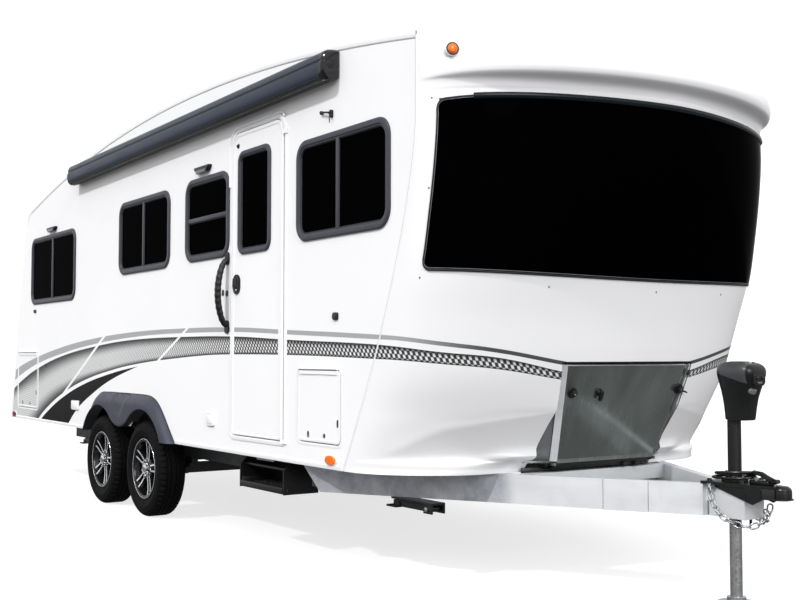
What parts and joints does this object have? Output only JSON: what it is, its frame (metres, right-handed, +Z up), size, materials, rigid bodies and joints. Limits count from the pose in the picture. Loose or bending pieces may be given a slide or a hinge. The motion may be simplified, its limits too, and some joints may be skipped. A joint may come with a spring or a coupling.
{
  "type": "travel caravan",
  "caption": "Rigid travel caravan on tandem axles with raked rear wall, bowed front cap and window, side awning, folding step, tongue jack and opening doors.",
  "frame": {"origin": "on the ground, at the middle of the length and on the centre plane of the body", "axes": "+X forward to the coupler, +Y to the left, +Z up"},
  "size_m": [8.16, 2.606, 3.227],
  "materials": {
    "white_panel": "gloss",
    "cap_shell": "gloss",
    "window_glass": "gloss",
    "frame_dark": "satin",
    "black_steel": "satin",
    "black_plastic": "satin",
    "charcoal": "satin",
    "alu_frame": "satin",
    "alu_box": "brushed",
    "galvanised": "satin",
    "floor_board": "matte",
    "tyre": "matte",
    "rim": "gloss",
    "red_lens": "gloss",
    "amber_lens": "gloss",
    "roof_plastic": "satin"
  },
  "bodies": {
    "caravan": {"floor": "floor_board", "side_wall_right": "white_panel", "side_wall_left": "white_panel", "rear_wall": "white_panel", "roof": "white_panel", "front_cap": "cap_shell", "front_window": "window_glass", "window_frames_right": "frame_dark", "window_glass_right": "window_glass", "window_frames_left": "frame_dark", "window_glass_left": "window_glass", "rear_window_frame": "frame_dark", "rear_window_glass": "window_glass", "door_hinge_post": "alu_frame", "grab_handle": "black_plastic", "awning_case": "charcoal", "awning_ends": "black_plastic", "fender_right": "charcoal", "fender_left": "charcoal", "wheel_wells": "black_plastic", "chassis_rails": "alu_frame", "cross_members": "alu_frame", "tongue_beams": "alu_frame", "coupler": "black_steel", "tongue_jack": "black_plastic", "front_axle": "black_steel", "rear_axle": "black_steel", "step_frame": "black_steel", "stabiliser_mounts": "black_steel", "nose_box": "alu_box", "tail_lights": "red_lens", "marker_lights": "amber_lens", "air_conditioner": "roof_plastic", "roof_vents": "roof_plastic"},
    "wheel_front_right": {"tyre_front_right": "tyre", "rim_front_right": "rim"},
    "wheel_front_left": {"tyre_front_left": "tyre", "rim_front_left": "rim"},
    "wheel_rear_right": {"tyre_rear_right": "tyre", "rim_rear_right": "rim"},
    "wheel_rear_left": {"tyre_rear_left": "tyre", "rim_rear_left": "rim"},
    "entry_door": {"entry_door": "white_panel", "entry_door_frame": "frame_dark", "entry_door_glass": "window_glass", "entry_door_lock": "black_plastic"},
    "hatch_front_right": {"hatch_front_right": "white_panel"},
    "hatch_front_left": {"hatch_front_left": "white_panel"},
    "hatch_rear_right": {"hatch_rear_right": "white_panel"},
    "hatch_rear_left": {"hatch_rear_left": "white_panel"},
    "nose_box_door": {"nose_box_door": "alu_box"},
    "jack_leg": {"jack_leg": "galvanised"},
    "step_tread": {"step_tread": "black_steel"},
    "stabiliser_front_right": {"stabiliser_front_right": "black_steel"},
    "stabiliser_front_left": {"stabiliser_front_left": "black_steel"},
    "stabiliser_rear_right": {"stabiliser_rear_right": "black_steel"},
    "stabiliser_rear_left": {"stabiliser_rear_left": "black_steel"}
  },
  "joints": [
    {"name": "wheel_front_right_spin", "type": "hinge", "parent": "caravan", "child": "wheel_front_right", "pos_m": [-0.531, -1.148, 0.345], "axis": [0, 1, 0], "continuous": true},
    {"name": "wheel_front_left_spin", "type": "hinge", "parent": "caravan", "child": "wheel_front_left", "pos_m": [-0.531, 1.148, 0.345], "axis": [0, 1, 0], "continuous": true},
    {"name": "wheel_rear_right_spin", "type": "hinge", "parent": "caravan", "child": "wheel_rear_right", "pos_m": [-1.419, -1.148, 0.345], "axis": [0, 1, 0], "continuous": true},
    {"name": "wheel_rear_left_spin", "type": "hinge", "parent": "caravan", "child": "wheel_rear_left", "pos_m": [-1.419, 1.148, 0.345], "axis": [0, 1, 0], "continuous": true},
    {"name": "entry_door_hinge", "type": "hinge", "parent": "caravan", "child": "entry_door", "pos_m": [1.552, -1.23, 1.528], "axis": [0, 0, 1], "range_deg": [0, 165]},
    {"name": "hatch_front_right_hinge", "type": "hinge", "parent": "caravan", "child": "hatch_front_right", "pos_m": [1.958, -1.228, 1.094], "axis": [1, 0, 0], "range_deg": [-115, 0]},
    {"name": "hatch_front_left_hinge", "type": "hinge", "parent": "caravan", "child": "hatch_front_left", "pos_m": [1.958, 1.228, 1.094], "axis": [1, 0, 0], "range_deg": [0, 115]},
    {"name": "hatch_rear_right_hinge", "type": "hinge", "parent": "caravan", "child": "hatch_rear_right", "pos_m": [-3.521, -1.228, 1.195], "axis": [1, 0, 0], "range_deg": [-115, 0]},
    {"name": "hatch_rear_left_hinge", "type": "hinge", "parent": "caravan", "child": "hatch_rear_left", "pos_m": [-3.521, 1.228, 1.195], "axis": [1, 0, 0], "range_deg": [0, 115]},
    {"name": "nose_box_door_hinge", "type": "hinge", "parent": "caravan", "child": "nose_box_door", "pos_m": [2.914, 0, 0.606], "axis": [0, 1, 0], "range_deg": [0, 66]},
    {"name": "jack_leg_slide", "type": "slide", "parent": "caravan", "child": "jack_leg", "axis": [0, 0, 1], "range_m": [0, 0.35]},
    {"name": "step_slide", "type": "slide", "parent": "caravan", "child": "step_tread", "axis": [0, -1, 0], "range_m": [0, 0.18]},
    {"name": "stabiliser_front_right_hinge", "type": "hinge", "parent": "caravan", "child": "stabiliser_front_right", "pos_m": [2.56, -0.88, 0.374], "axis": [0, -1, 0], "range_deg": [0, 42]},
    {"name": "stabiliser_front_left_hinge", "type": "hinge", "parent": "caravan", "child": "stabiliser_front_left", "pos_m": [2.56, 0.88, 0.374], "axis": [0, -1, 0], "range_deg": [0, 42]},
    {"name": "stabiliser_rear_right_hinge", "type": "hinge", "parent": "caravan", "child": "stabiliser_rear_right", "pos_m": [-2.28, -0.93, 0.394], "axis": [0, -1, 0], "range_deg": [0, 45]},
    {"name": "stabiliser_rear_left_hinge", "type": "hinge", "parent": "caravan", "child": "stabiliser_rear_left", "pos_m": [-2.28, 0.93, 0.394], "axis": [0, -1, 0], "range_deg": [0, 45]}
  ]
}
